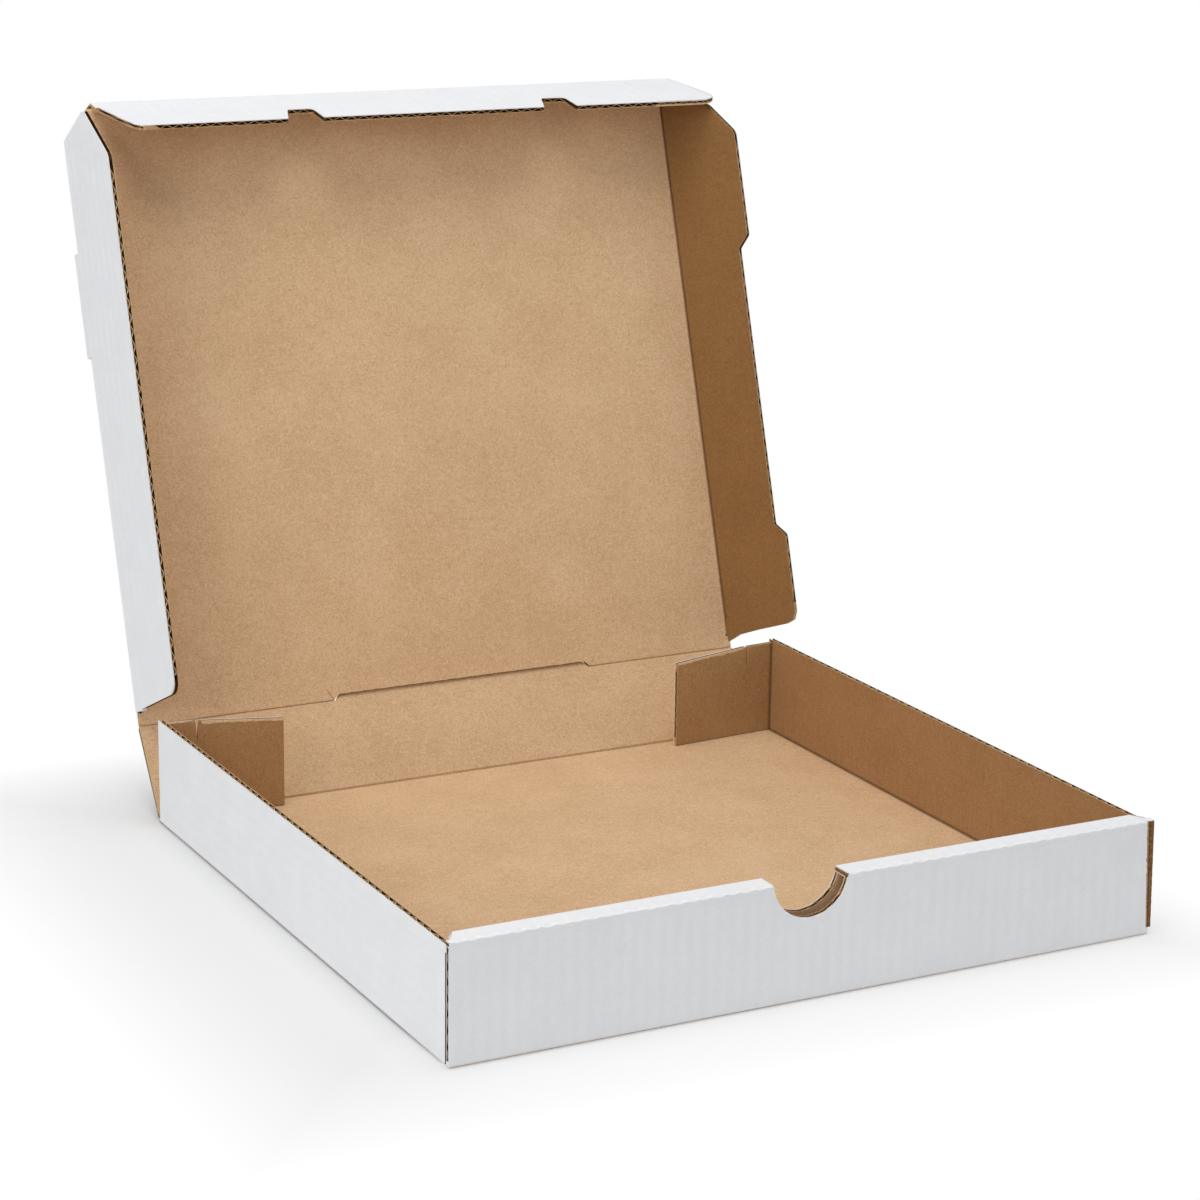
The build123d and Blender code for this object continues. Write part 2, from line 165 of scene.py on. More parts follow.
class Finish(Graph):
    """A material under construction, with Object coordinates as its place."""

    def __init__(self, name):
        self.material = bpy.data.materials.new(name)
        self.material.use_nodes = True
        super().__init__(self.material.node_tree)
        self.shader = self.tree.nodes["Principled BSDF"]
        self.place = self.node("ShaderNodeTexCoord", out="Object")

    def set(self, **sockets):
        for name, value in sockets.items():
            self.feed(self.shader.inputs[name.replace("_", " ")], value)
        return self.material

    def noise(self, scale, detail, roughness=0.6, distortion=0.0):
        inputs = {
            "Vector": self.place,
            "Scale": scale,
            "Detail": detail,
            "Roughness": roughness,
            "Distortion": distortion,
        }
        return self.node("ShaderNodeTexNoise", None, inputs)

    def streaks(self, axis, scale, detail, drawn=0.8):
        """Noise drawn out along an axis."""
        shift = {0: tuple(axis), "Scale": self.along(axis) * drawn}
        pulled = self.node("ShaderNodeVectorMath", {"operation": "SCALE"}, shift)
        place = self.node("ShaderNodeVectorMath", {"operation": "SUBTRACT"}, {0: self.place, 1: pulled})
        return self.node("ShaderNodeTexNoise", None, {"Vector": place, "Scale": scale, "Detail": detail})

    def along(self, axis):
        settings = {"operation": "DOT_PRODUCT"}
        return self.node("ShaderNodeVectorMath", settings, {0: self.place, 1: tuple(axis)}, "Value")

    def wave(self, axis, pitch):
        phase = self.along(axis) * (2 * math.pi / pitch)
        return self.node("ShaderNodeMath", {"operation": "SINE"}, {0: phase})

    def size(self, value):
        return self.node("ShaderNodeMath", {"operation": "ABSOLUTE"}, {0: value})

    def range(self, value, low, high, to_low=0.0, to_high=1.0):
        inputs = {"Value": value, "From Min": low, "From Max": high, "To Min": to_low, "To Max": to_high}
        return self.node("ShaderNodeMapRange", {"clamp": True}, inputs)

    def mix(self, factor, first, second):
        return self.node("ShaderNodeMix", {"data_type": "RGBA"}, {0: factor, 6: first, 7: second}, 2)

    def bump(self, height, strength, distance):
        inputs = {"Height": height, "Strength": strength, "Distance": distance}
        return self.node("ShaderNodeBump", None, inputs)


PLAIN = (1.0, 1.0, 1.0)


def ink(red, green, blue, tone=PLAIN):
    """A colour as seen on screen, 0 to 255, as the linear light that shaders work in."""
    levels = [value / 255 for value in (red, green, blue)]
    light = [((v + 0.055) / 1.055) ** 2.4 if v > 0.04 else v / 12.92 for v in levels]
    return tuple(v * share for v, share in zip(light, tone)) + (1.0,)


# %% [markdown]
# The papers
#
# Kraft paper is full of short fibres, so its brown is mottled at about a millimetre, with paler
# strands, wider clouds and faint streaks across the flutes, the way the paper ran through its
# machine. The white liner is smoother. Under both, the flutes of the core show as a faint washboard
# that runs one way only, so each board finish is made for the direction across its flutes.

# %% Papers
BOARD = 2.5 * MM
FLUTE_PITCH = 6.3 * MM
FLUTE_SWING = 0.6 * MM
PAPER_RELIEF = 0.12 * MM
CREASE_CORE = 0.3 * MM
CREASE_FADE = 1.6 * MM
CREASE_SHADE = 0.65


def kraft_paper(name, across, tone, creases):
    finish = Finish(name)
    fibres = finish.noise(820, 3, roughness=0.5, distortion=2.4)
    clouds = finish.noise(26, 3)
    strands = finish.noise(1000, 2, distortion=3.4)
    streaks = finish.streaks(across, 640, 2)
    mottle = finish.range(fibres * 0.74 + clouds * 0.18 + streaks * 0.08, 0.42, 0.58)
    colour = finish.mix(mottle, ink(198, 161, 121, tone), ink(225, 192, 154, tone))
    colour = finish.mix(finish.range(strands, 0.56, 0.72) * 0.6, colour, ink(241, 215, 184, tone))
    # Creases: a dark line of painted shade where the kraft meets the next panel at an inside corner.
    for axis, place in creases:
        distance = finish.size(finish.along(axis) - place)
        line = finish.range(distance, CREASE_CORE, CREASE_FADE, CREASE_SHADE, 0.0)
        colour = finish.mix(line, colour, ink(92, 62, 35))
    height = fibres * 0.5 + strands * 0.3 + finish.wave(across, FLUTE_PITCH) * 0.22
    return finish.set(
        Base_Color=colour,
        Roughness=finish.range(fibres, 0.3, 0.7, 0.80, 0.93),
        Normal=finish.bump(height, 0.30, PAPER_RELIEF),
        Specular_IOR_Level=0.2,
    )


def white_paper(name, across):
    finish = Finish(name)
    fibres = finish.noise(700, 4, distortion=0.8)
    clouds = finish.noise(60, 2)
    tint = finish.range(clouds * 0.4 + fibres * 0.6, 0.38, 0.62)
    height = finish.wave(across, FLUTE_PITCH) * (clouds * 1.6) + fibres * 0.25
    return finish.set(
        Base_Color=finish.mix(tint, ink(238, 239, 242), ink(243, 244, 246)),
        Roughness=finish.range(fibres, 0.3, 0.7, 0.55, 0.68),
        Normal=finish.bump(height, 0.45, PAPER_RELIEF),
        Specular_IOR_Level=0.3,
    )


def flute_edge(name, point, inward, across):
    finish = Finish(name)
    depth = finish.along(inward) - point.dot(inward)
    middle = finish.wave(across, FLUTE_PITCH) * FLUTE_SWING + BOARD / 2
    gap = finish.size(depth - middle)
    fibres = finish.noise(900, 3)
    core = finish.mix(finish.range(fibres, 0.35, 0.65), ink(128, 93, 58), ink(176, 138, 96))
    # The dark between the wavy core and the liners is painted shade of the open hollow.
    colour = finish.mix(finish.range(gap, 0.24 * MM, 0.42 * MM), core, ink(44, 29, 17))
    colour = finish.mix(finish.range(depth, 0.62 * BOARD, 0.8 * BOARD), colour, ink(214, 184, 147))
    colour = finish.mix(finish.range(depth, 0.26 * BOARD, 0.14 * BOARD), colour, ink(238, 236, 232))
    return finish.set(Base_Color=colour, Roughness=0.95, Specular_IOR_Level=0.1)


def web_edge(name, point, inward):
    finish = Finish(name)
    depth = finish.along(inward) - point.dot(inward)
    fibres = finish.noise(900, 3)
    colour = finish.mix(finish.range(fibres, 0.35, 0.65), ink(166, 127, 84), ink(212, 178, 137))
    colour = finish.mix(finish.range(depth, 0.2 * BOARD, 0.1 * BOARD), colour, ink(238, 236, 232))
    return finish.set(Base_Color=colour, Roughness=0.95, Specular_IOR_Level=0.1)


def cut_paper(name, colour, shade, scale):
    finish = Finish(name)
    fibres = finish.noise(scale, 4, distortion=0.6)
    return finish.set(
        Base_Color=finish.mix(finish.range(fibres, 0.35, 0.65), shade, colour),
        Roughness=0.95,
        Specular_IOR_Level=0.1,
    )


# %% [markdown]
# Which face is which paper
#
# The imported panels are plain solids, so every copy of one is sorted face by face. A board has an
# outside, and its depth is measured inwards from there. Faces at depth nothing are white, faces
# at full depth are kraft, and what lies between is a cut edge. A cut across the flutes shows the
# pale ends of the paper round open holes. A cut along them shows the dark hollow between liners,
# whose dark is painted shade, and the core paper inside the open flutes is darkened with painted
# shade too.

# %% Board sorting
LINER = 0.36 * MM
SKIN = 0.06 * MM
WHITE_SLOT, KRAFT_SLOT, CUT_SLOT, WEB_SLOT, WHITE_EDGE_SLOT, KRAFT_EDGE_SLOT, CORE_SLOT = range(7)
X_AXIS, Y_AXIS, Z_AXIS = (Vector(row) for row in Matrix.Identity(3))

white_edge = cut_paper("white_liner_edge", ink(240, 238, 234), ink(216, 204, 188), 900)
kraft_edge = cut_paper("kraft_liner_edge", ink(218, 188, 150), ink(178, 140, 98), 900)
# Painted shade: the core paper is darkened to stand for the shade deep in the open flutes.
shaded_core_paper = cut_paper("shaded_core_paper", ink(98, 69, 42), ink(50, 33, 18), 600)
# The core paper's own brown with a lighter painted shade, for open flutes that show less shade.
pale_shaded_core = cut_paper("pale_core_paper", ink(150, 112, 72), ink(104, 73, 43), 600)


class Board:
    """One flat board: a point on its outside, the way out of it, and the way across its flutes."""

    def __init__(
        self, name, point, out, across, span=None, tone=PLAIN, core=shaded_core_paper, creases=(), web=None
    ):
        self.point = Vector(point)
        self.out = Vector(out).normalized()
        self.flutes = self.out.cross(across)
        self.span = span
        self.papers = [
            white_paper(name + "_white", across),
            kraft_paper(name + "_kraft", across, tone, creases),
            flute_edge(name + "_cut", self.point, -self.out, across),
            web or web_edge(name + "_web", self.point, -self.out),
            white_edge,
            kraft_edge,
            core,
        ]

    def depth(self, place):
        return (self.point - place).dot(self.out)

    def holds(self, place):
        if not -SKIN < self.depth(place) < BOARD + SKIN:
            return False
        if self.span is None:
            return True
        low, high = self.span
        return all(a - SKIN <= p <= b + SKIN for a, p, b in zip(low, place, high))

    def paper(self, mesh, face):
        depth = self.depth(face.center)
        facing = face.normal.dot(self.out)
        depths = [self.depth(mesh.vertices[i].co) for i in face.vertices]
        if depth < SKIN * 4 and facing > 0.5:
            return WHITE_SLOT
        if depth > BOARD - SKIN * 4 and facing < -0.5:
            return KRAFT_SLOT
        across_flutes = abs(face.normal.dot(self.flutes))
        if max(depths) - min(depths) > BOARD * 0.8 and across_flutes < 0.95:
            return CUT_SLOT
        if across_flutes > 0.1:
            return WEB_SLOT
        if depth < LINER:
            return WHITE_EDGE_SLOT
        if depth > BOARD - LINER:
            return KRAFT_EDGE_SLOT
        return CORE_SLOT


def add_papers(piece, boards):
    piece.data.materials.clear()
    for board in boards:
        for paper in board.papers:
            piece.data.materials.append(paper)


def best_board(boards, mesh, face):
    homes = [i for i, board in enumerate(boards) if board.holds(face.center)]
    flat = [i for i in homes if boards[i].paper(mesh, face) in (WHITE_SLOT, KRAFT_SLOT)]
    if flat:
        return flat[0]
    if homes:
        return homes[0]
    distances = [abs(board.depth(face.center) - BOARD / 2) for board in boards]
    return distances.index(min(distances))


def paper_faces(piece, boards):
    add_papers(piece, boards)
    mesh = piece.data
    slots = len(boards[0].papers)
    for face in mesh.polygons:
        home = best_board(boards, mesh, face)
        face.material_index = home * slots + boards[home].paper(mesh, face)


# %% [markdown]
# Small modelling helpers
#
# Most pieces begin in the same few ways: a copy of a packed panel with its loose triangles merged,
# or an outline or grid whose points are moved into place, and which may then be given a thickness.
# Edges are picked in code by their direction, so that a strip can be cut across as its detail needs.

# %% Modelling helpers
WELD = 0.002 * MM
SMOOTH_ANGLE = math.radians(30)
FLAT_AREA = 20.0 * MM * MM
ALIGNED = 0.999


def only(piece):
    bpy.ops.object.select_all(action="DESELECT")
    piece.select_set(True)
    bpy.context.view_layer.objects.active = piece


def copy_node(node_name, piece_name):
    node = nodes[node_name]
    piece = node.copy()
    piece.data = node.data.copy()
    piece.name = piece_name
    piece.parent = None
    for key in list(piece.keys()):
        del piece[key]
    bpy.context.scene.collection.objects.link(piece)
    only(piece)
    bpy.ops.object.mode_set(mode="EDIT")
    bpy.ops.mesh.select_all(action="SELECT")
    bpy.ops.mesh.remove_doubles(threshold=WELD)
    bpy.ops.object.mode_set(mode="OBJECT")
    return piece


def outline_face(name, points):
    bpy.ops.object.select_all(action="DESELECT")
    bpy.ops.mesh.primitive_circle_add(vertices=len(points), radius=BOARD, fill_type="NGON")
    piece = bpy.context.object
    piece.name = name
    for vertex, place in zip(piece.data.vertices, points):
        vertex.co = place
    return piece


def thicken(piece, run):
    only(piece)
    bpy.ops.object.mode_set(mode="EDIT")
    bpy.ops.mesh.select_all(action="SELECT")
    bpy.ops.mesh.extrude_region_move(TRANSFORM_OT_translate={"value": run})
    bpy.ops.mesh.select_all(action="SELECT")
    bpy.ops.mesh.normals_make_consistent(inside=False)
    bpy.ops.object.mode_set(mode="OBJECT")


def cut_across(piece, direction, cuts):
    only(piece)
    mesh = piece.data
    bpy.ops.object.mode_set(mode="EDIT")
    bpy.ops.mesh.select_mode(type="EDGE")
    bpy.ops.mesh.select_all(action="DESELECT")
    bpy.ops.object.mode_set(mode="OBJECT")
    for edge in mesh.edges:
        run = mesh.vertices[edge.vertices[1]].co - mesh.vertices[edge.vertices[0]].co
        edge.select = abs(run.normalized().dot(direction)) > ALIGNED
    bpy.ops.object.mode_set(mode="EDIT")
    bpy.ops.mesh.subdivide(number_cuts=cuts)
    bpy.ops.object.mode_set(mode="OBJECT")


def add_grid(name, columns, rows):
    bpy.ops.object.select_all(action="DESELECT")
    bpy.ops.mesh.primitive_grid_add(x_subdivisions=columns, y_subdivisions=rows, size=1.0)
    piece = bpy.context.object
    piece.name = name
    return piece


def stiffen(piece, thickness):
    only(piece)
    paper = piece.modifiers.new("paper", "SOLIDIFY")
    paper.thickness = thickness
    paper.offset = 0.0
    bpy.ops.object.modifier_apply(modifier=paper.name)


def smooth(piece):
    only(piece)
    bpy.ops.object.shade_smooth_by_angle(angle=SMOOTH_ANGLE)
    for face in piece.data.polygons:
        if face.area > FLAT_AREA:
            face.use_smooth = False


# %% [markdown]
# Directions of the open lid
#
# The hinge points come from the joints. The rear wall leans back by half a right angle and the
# lid leans less, so each panel's own directions follow from those turns.

# %% Directions
REAR_LEAN = math.radians(45.0)
LID_LEAN = math.radians(17.5)
LEFT_TURN = math.radians(7.0)
RIGHT_TURN = math.radians(27.0)
FRONT_TURN = math.radians(27.0)


def turned(vector, angle, axis):
    return Matrix.Rotation(angle, 3, axis) @ vector


wall_up = turned(Z_AXIS, -REAR_LEAN, "X")
wall_in = turned(-Y_AXIS, -REAR_LEAN, "X")
lid_up = turned(Z_AXIS, -LID_LEAN, "X")
lid_in = turned(-Y_AXIS, -LID_LEAN, "X")
left_down = turned(lid_in, LEFT_TURN, lid_up)
right_down = turned(lid_in, RIGHT_TURN, lid_up)
front_down = turned(lid_in, FRONT_TURN, "X")
left_in = lid_up.cross(left_down)
right_in = -lid_up.cross(right_down)
front_in = X_AXIS.cross(front_down)
hinge = {name: Vector(joint["pos_m"]) for name, joint in joints.items()}
print("lid rises along", lid_up)

# %% [markdown]
# The lid, its flaps and the rear wall
#
# Each of these is one flat board, so its packed panel already has the right outline and flutes.
# A copy with the papers laid on keeps that form and takes the panel's place. The sheet has one kraft
# liner throughout, but some panels stand in deeper shade in the photograph than these lamps give, so
# the shaded tones lay that shade into their paper, here and in the tray.

# %% Panels of the lid and the rear wall
SHADED_FLAP = (0.415, 0.315, 0.19)
SHADED_REAR = (0.91, 0.90, 0.89)
rear_board = Board("rear_wall", hinge["rear_wall_fold"], -wall_in, X_AXIS, None, SHADED_REAR)
lid_board = Board("lid", hinge["lid_hinge"] - lid_in * BOARD, -lid_in, X_AXIS)
left_board = Board("left_flap", hinge["left_flap_fold"], -left_in, left_down)
right_board = Board("right_flap", hinge["right_flap_fold"], -right_in, right_down, None, SHADED_FLAP)
front_board = Board("front_flap", hinge["front_flap_fold"], -front_in, X_AXIS)


def dress_panel(node_name, piece_name, board):
    piece = copy_node(node_name, piece_name)
    paper_faces(piece, [board])
    return piece


rear_wall = dress_panel("rear_wall", "rear_panel", rear_board)
lid = dress_panel("lid_panel", "lid_top", lid_board)
left_flap = dress_panel("lid_left_flap", "left_flap", left_board)
right_flap = dress_panel("lid_right_flap", "right_flap", right_board)
front_flap = dress_panel("lid_front_flap", "front_flap", front_board)
print("lid faces:", len(lid.data.polygons))

# %% [markdown]
# The tray
#
# The tray is one sheet too, folded into a floor, two side walls, a rolled front wall and corner
# flaps. Its faces are sorted among those boards, each with its own outside and flute direction.
# At the right end of the front wall the white liner stops short with a nibbled edge, so a ragged
# block is cut away there to lay the core bare. At the left end the side wall turns in just before
# the corner and leaves a dark slit, so a block with a slanted side is cut away there too.

# %% Tray
tray_low, tray_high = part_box("tray")
ROLL = 10.0 * MM
SIDE_HEIGHT = 50.0 * MM
TRAY_BACK = hinge["rear_wall_fold"].y
CORNER_FLAP_Y = 146.0 * MM
CORNER_LEFT_TURN = math.radians(5.8)
CORNER_RIGHT_TURN = math.radians(4.4)
CORNER_ROOT = 157.1 * MM
SHADED_WALL = (0.58, 0.485, 0.37)
SHADED_CORNER = (0.63, 0.55, 0.43)
END_WIDTH = 1.4 * MM
END_SLANT = 2.4 * MM
END_DEPTH = 0.6 * MM
END_LOW = 3.5 * MM
END_HIGH = 51.4 * MM
NIBBLE = 0.35 * MM
BEND_Y = (-150.0 * MM, -154.6 * MM, -157.45 * MM)
BEND_IN = 0.9 * MM
SLIT_DEPTH = BOARD * 0.78
TRAPPED_GAP = 0.4 * MM
NIBBLE_CUTS = 40
NIBBLE_SCALE = 420
CORNER_LOW = -0.5 * MM
CORNER_HIGH = 46.8 * MM

left_run = turned(X_AXIS, -CORNER_LEFT_TURN, "Z")
right_run = turned(-X_AXIS, CORNER_RIGHT_TURN, "Z")
left_corner = Vector((tray_low.x + BOARD, CORNER_ROOT, 0))
right_corner = Vector((tray_high.x - BOARD, CORNER_ROOT, 0))
left_corner_in = left_run.cross(Z_AXIS)
right_corner_in = Z_AXIS.cross(right_run)


def wall_boards():
    low, high = tray_low, tray_high
    inside = high.x - BOARD
    front = low.y + BOARD
    inner = low.y + ROLL
    strip = high.z - BOARD
    floor_span = low, (high.x, TRAY_BACK, BOARD)
    strip_span = (low.x, low.y, strip), (high.x, inner, high.z)
    front_span = low, (high.x, front, high.z)
    inner_span = (low.x, inner - BOARD, 0), (high.x, inner, high.z)
    left_span = low, (-inside, TRAY_BACK, SIDE_HEIGHT)
    right_span = (inside, low.y, 0), (high.x, TRAY_BACK, SIDE_HEIGHT)
    # Dark lines of painted shade lie along the inside corners of the floor and the side walls.
    floor_crease_shade = (X_AXIS, inside), (X_AXIS, -inside), (Y_AXIS, inner)
    side_crease_shade = (Z_AXIS, BOARD), (Y_AXIS, CORNER_ROOT - BOARD)
    return [
        Board("floor", low, -Z_AXIS, X_AXIS, floor_span, creases=floor_crease_shade),
        Board("strip", high, Z_AXIS, X_AXIS, strip_span),
        Board("front", low, -Y_AXIS, X_AXIS, front_span),
        Board("inner", (0, inner, 0), Y_AXIS, X_AXIS, inner_span),
        # The left wall's end faces take the dark shaded core paper: painted shade that darkens the slit at
        # the front corner.
        Board("left", low, -X_AXIS, Z_AXIS, left_span, creases=side_crease_shade, web=shaded_core_paper),
        Board("right", high, X_AXIS, Z_AXIS, right_span, SHADED_WALL, creases=side_crease_shade),
    ]


def corner_boards():
    low, high = tray_low, tray_high
    left_span = (low.x, CORNER_FLAP_Y, 0), (0, TRAY_BACK, SIDE_HEIGHT)
    right_span = (0, CORNER_FLAP_Y, 0), (high.x, TRAY_BACK, SIDE_HEIGHT)
    trapped = low.y + BOARD + TRAPPED_GAP
    trapped_span = (low.x, trapped, 0), (high.x, trapped + BOARD, high.z)
    inside = high.x - BOARD
    # The corner flaps take a darker tone, the lighter shaded core and dark crease lines: all painted shade.
    corner_look = SHADED_CORNER, pale_shaded_core, ((X_AXIS, inside), (X_AXIS, -inside))
    bend_span = (low.x, BEND_Y[1], 0), (low.x + BOARD, BEND_Y[0], SIDE_HEIGHT)
    bend_out = Vector((BEND_Y[1] - BEND_Y[0], -BEND_IN, 0))
    return [
        Board("left_corner", left_corner, -left_corner_in, Z_AXIS, left_span, *corner_look),
        Board("right_corner", right_corner, -right_corner_in, Z_AXIS, right_span, *corner_look),
        Board("trapped", (0, trapped, 0), -Y_AXIS, Z_AXIS, trapped_span),
        Board("left_bend", (low.x, BEND_Y[0], 0), bend_out, Z_AXIS, bend_span),
    ]


def corner_block():
    x, deep = tray_low.x, tray_low.x + SLIT_DEPTH
    wide = x - BOARD
    section = [(wide, BEND_Y[0]), (x, BEND_Y[0]), (x + BEND_IN, BEND_Y[1]), (deep, BEND_Y[1])]
    section += [(deep, BEND_Y[2]), (wide, BEND_Y[2])]
    block = outline_face("corner_block", [Vector((x, y, CORNER_LOW)) for x, y in section])
    thicken(block, Z_AXIS * (CORNER_HIGH - CORNER_LOW))
    return block


def end_slant(z):
    return END_SLANT * (z - END_LOW) / (END_HIGH - END_LOW)


def ragged_block():
    low = Vector((tray_high.x - END_WIDTH, tray_low.y - END_DEPTH, END_LOW))
    high = Vector((tray_high.x + BOARD, tray_low.y + END_DEPTH, END_HIGH))
    bpy.ops.object.select_all(action="DESELECT")
    bpy.ops.mesh.primitive_cube_add(size=1.0, location=(low + high) / 2)
    block = bpy.context.object
    bpy.ops.transform.resize(value=high - low)
    bpy.ops.object.transform_apply(location=True, rotation=True, scale=True)
    cut_across(block, Z_AXIS, NIBBLE_CUTS)
    for vertex in block.data.vertices:
        if vertex.co.x < tray_high.x:
            nibble = NIBBLE * noise.noise(Vector((0, 0, vertex.co.z * NIBBLE_SCALE)))
            vertex.co.x -= end_slant(vertex.co.z) - nibble
    return block


def cut_away(piece, block):
    only(piece)
    cut = piece.modifiers.new("cut", "BOOLEAN")
    cut.operation = "DIFFERENCE"
    cut.solver = "EXACT"
    cut.object = block
    bpy.ops.object.modifier_apply(modifier=cut.name)
    bpy.data.objects.remove(block)


tray = copy_node("tray", "tray_shell")
cut_away(tray, ragged_block())
cut_away(tray, corner_block())
tray_boards = wall_boards() + corner_boards()
paper_faces(tray, tray_boards)
floor_board, wall_board, left_corner_board = tray_boards[0], tray_boards[2], tray_boards[6]
print("tray faces:", len(tray.data.polygons))

# %% [markdown]
# Which panel rides on which body
#
# A piece follows the body of the panel that it replaces, so it turns with that panel's joint.

# %% Rides
PANELS = {
    "tray": (tray, "tray"),
    "rear_wall": (rear_wall, "rear_wall"),
    "lid_panel": (lid, "lid"),
    "lid_left_flap": (left_flap, "left_flap"),
    "lid_right_flap": (right_flap, "right_flap"),
    "lid_front_flap": (front_flap, "front_flap"),
}


def ride(piece, body):
    smooth(piece)
    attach(piece, body)


for node_name, (piece, body) in PANELS.items():
    ride(piece, body)
    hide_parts(node_name)
print("panels:", len(PANELS))

# %% [markdown]
# The folds
#
# At a crease the liners run on from one panel to the next, while the panels themselves are rigid
# and stop short of each other. A fold is a strip that laps over both: its section is drawn as an
# outline, extruded along the crease, and cut across so that the crushed line can waver.

# %% Folds
PROUD = 0.05 * MM
FOLD_TURN = 0.8 * MM
FOLD_LIP = 0.9 * MM
GROOVE = 1.3 * MM
FOLD_STEP = 5.0 * MM
FOLD_EDGE = 0.4 * MM
FOLD_LAP = 3.5 * MM
HINGE_LAP = 6.0 * MM
ARC_STEPS = 6
WAVER = 0.25 * MM
WAVER_SCALE = 260


class Side:
    """One side of a fold: the way into the panel, the way in through its board, and its papers."""

    def __init__(self, body, board, into, inward):
        self.body = body
        self.board = board
        self.into = into
        self.inward = inward

    def at(self, distance, depth):
        return self.into * distance + self.inward * depth


def outer_section(a, b):
    """A fold that turns about its white side: crushed to a line inside."""
    half = a.inward.angle(b.inward) / 2
    middle = (a.inward + b.inward).normalized()
    reach = BOARD * math.tan(half) + FOLD_LIP
    width = reach + FOLD_LAP
    depth = BOARD + PROUD
    crush = middle * (BOARD / math.cos(half) - GROOVE)
    sunk = BOARD - PROUD
    outside = [a.at(width, PROUD), a.at(FOLD_EDGE, -PROUD), middle * -PROUD]
    outside += [b.at(FOLD_EDGE, -PROUD), b.at(width, PROUD)]
    inside = [b.at(width, sunk), b.at(reach, depth), crush, a.at(reach, depth), a.at(width, sunk)]
    return outside + inside, crush, 0.0


def inner_section(a, b):
    """A fold that turns about its brown side: the white side runs round it in an arc."""
    width = HINGE_LAP
    depth = BOARD + PROUD
    crush = (a.inward + b.inward).normalized() * -GROOVE / 2
    arc = [a.inward.slerp(b.inward, step / ARC_STEPS) * -depth for step in range(ARC_STEPS + 1)]
    sunk = BOARD - PROUD
    outside = [a.at(width, -sunk)] + arc + [b.at(width, -sunk)]
    inside = [b.at(width, -PROUD), b.at(FOLD_LIP, PROUD), crush]
    inside += [a.at(FOLD_LIP, PROUD), a.at(width, -PROUD)]
    return outside + inside, crush, -BOARD


def waver(piece, origin, along, crush):
    for vertex in piece.data.vertices:
        offset = vertex.co - origin
        offset -= along * offset.dot(along)
        if (offset - crush).length < SKIN:
            vertex.co += crush.normalized() * WAVER * noise.noise(vertex.co * WAVER_SCALE)


def paper_fold(piece, origin, along, a, b, white_depth):
    add_papers(piece, [a.board, b.board])
    slots = len(a.board.papers)
    for face in piece.data.polygons:
        offset = face.center - origin
        nearer = 0 if offset.dot(a.into - b.into) > 0 else 1
        side = (a, b)[nearer]
        outside = offset.dot(side.inward) - white_depth < BOARD / 2
        paper = WHITE_SLOT if outside else KRAFT_SLOT
        if abs(face.normal.dot(along)) > 0.9:
            paper = KRAFT_EDGE_SLOT
        face.material_index = nearer * slots + paper


def add_fold(name, joint, along, span, a, b, draw):
    origin = hinge[joint]
    section, crush, white_depth = draw(a, b)
    start, end = span[0] * MM, span[1] * MM
    piece = outline_face(name, [origin + along * start + point for point in section])
    thicken(piece, along * (end - start))
    cut_across(piece, along, int((end - start) / FOLD_STEP))
    waver(piece, origin, along, crush)
    paper_fold(piece, origin, along, a, b, white_depth)
    smooth(piece)
    origin + a.into * FOLD_TURN
    origin + b.into * FOLD_TURN
    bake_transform(piece)
    return piece


foot_sides = Side("tray", floor_board, -Y_AXIS, Z_AXIS), Side("rear_wall", rear_board, wall_up, wall_in)
hinge_sides = Side("rear_wall", rear_board, -wall_up, wall_in), Side("lid", lid_board, lid_up, lid_in)
left_sides = Side("lid", lid_board, X_AXIS, lid_in), Side("left_flap", left_board, left_down, left_in)
right_sides = Side("lid", lid_board, -X_AXIS, lid_in), Side("right_flap", right_board, right_down, right_in)
front_sides = Side("lid", lid_board, -lid_up, lid_in), Side("front_flap", front_board, front_down, front_in)

folds = [
    add_fold("floor_fold", "rear_wall_fold", X_AXIS, (-164.4, 164.4), *foot_sides, outer_section),
    add_fold("hinge_fold_left", "lid_hinge", X_AXIS, (-161, -61.4), *hinge_sides, inner_section),
    add_fold("hinge_fold_right", "lid_hinge", X_AXIS, (78.4, 161), *hinge_sides, inner_section),
    add_fold("left_fold_low", "left_flap_fold", lid_up, (7, 175.6), *left_sides, outer_section),
    add_fold("left_fold_high", "left_flap_fold", lid_up, (226.4, 279.5), *left_sides, outer_section),
    add_fold("right_fold", "right_flap_fold", lid_up, (7, 286.5), *right_sides, outer_section),
    add_fold("front_fold", "front_flap_fold", X_AXIS, (-146.5, 157.4), *front_sides, outer_section),
]
print("folds:", len(folds))

# %% [markdown]
# The crease along the top of the front wall
#
# Where the front wall turns over into its top strip, the score crosses the flutes and crushes them
# one by one, so the crease is a row of small scallops. A grid is bent over the corner, its middle
# row is let down between the flutes, and it laps over the wall and the strip.

# %% Front crease
# The path is in millimetres: back from the wall's face, and up from its top.
NOTCH_X = -5.0 * MM
NOTCH_HALF = 17.6 * MM
CREASE_STEP = 0.7 * MM
CREASE_WALL = (0.06, -3.2), (-0.08, -2.6), (-0.13, -1.4), (-0.12, -0.1)
CREASE_STRIP = (0.7, 0.1), (2.2, 0.1), (3.0, -0.05)
CREASE_PATH = CREASE_WALL + CREASE_STRIP
RIDGE_ROW = 3
SCALLOP = 0.75 * MM
SCALLOP_SCALE = 240
CREASE_INSET = 0.2 * MM


def scallop(x):
    ragged = 0.75 + 0.6 * noise.noise(Vector((x * SCALLOP_SCALE, 0, 0)))
    return SCALLOP * abs(math.sin(math.pi * x / FLUTE_PITCH)) ** 0.8 * ragged


